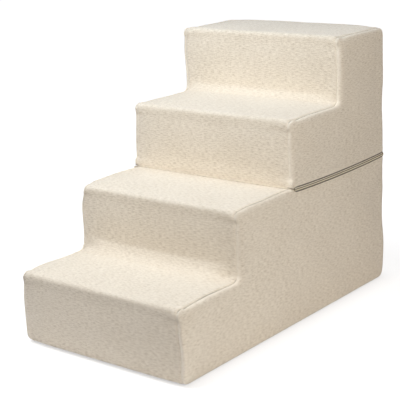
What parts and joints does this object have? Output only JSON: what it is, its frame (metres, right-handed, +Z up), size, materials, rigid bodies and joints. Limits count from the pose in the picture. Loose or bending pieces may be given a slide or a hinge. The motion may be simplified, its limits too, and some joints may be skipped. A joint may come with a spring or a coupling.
{
  "type": "pet stairs",
  "caption": "Foam pet stairs in a zipped fabric cover: the upper half is hinged at its front edge and tips forward once the zip round its other sides is open.",
  "frame": {"origin": "on the floor, at the middle of the base", "axes": "+X across the steps, +Y from the lowest step to the back, +Z up"},
  "size_m": [0.4133, 0.7128, 0.556],
  "materials": {
    "cover_fabric": "fine linen-look weave",
    "lining": "white non-woven",
    "foam": "open-cell foam",
    "base_fabric": "non-slip fabric with rubber dots",
    "hinge_fabric": "folded cover fabric",
    "zip_tape": "herringbone woven tape",
    "zip_teeth": "nylon coil",
    "zip_metal": "plated zinc, antique"
  },
  "bodies": {
    "lower_half": {"lower_foam": "foam", "lower_step_cover": "cover_fabric", "lower_back_panel": "cover_fabric", "lower_left_panel": "cover_fabric", "lower_right_panel": "cover_fabric", "base_panel": "base_fabric", "lower_lining": "lining", "hinge_tape": "hinge_fabric", "lower_zip_tape": "zip_tape", "lower_zip_teeth": "zip_teeth", "lower_end_stop": "zip_metal", "bottom_stop": "zip_metal"},
    "upper_half": {"upper_foam": "foam", "upper_step_cover": "cover_fabric", "upper_back_panel": "cover_fabric", "upper_left_panel": "cover_fabric", "upper_right_panel": "cover_fabric", "upper_lining": "lining", "upper_zip_tape": "zip_tape", "upper_zip_teeth": "zip_teeth", "upper_end_stop": "zip_metal"},
    "slider": {"zip_slider": "zip_metal"},
    "link": {"pull_link": "zip_metal"},
    "tab": {"pull_tab": "zip_metal"}
  },
  "joints": [
    {"name": "upper_half_tip", "type": "hinge", "parent": "lower_half", "child": "upper_half", "pos_m": [0, 0.0003, 0.2834], "axis": [1, 0, 0], "range_deg": [0, 90]},
    {"name": "slider_run", "type": "slide", "parent": "lower_half", "child": "slider", "axis": [0, 1, 0], "range_m": [0, 0.32], "deforming": ["lower_zip_teeth", "upper_zip_teeth"]},
    {"name": "link_swing", "type": "hinge", "parent": "slider", "child": "link", "pos_m": [-0.20712, 0.0157, 0.2804], "axis": [0, 1, 0], "range_deg": [0, 150]},
    {"name": "tab_sway", "type": "hinge", "parent": "link", "child": "tab", "pos_m": [-0.20712, 0.0157, 0.27168], "axis": [1, 0, 0], "range_deg": [-35, 35]}
  ]
}
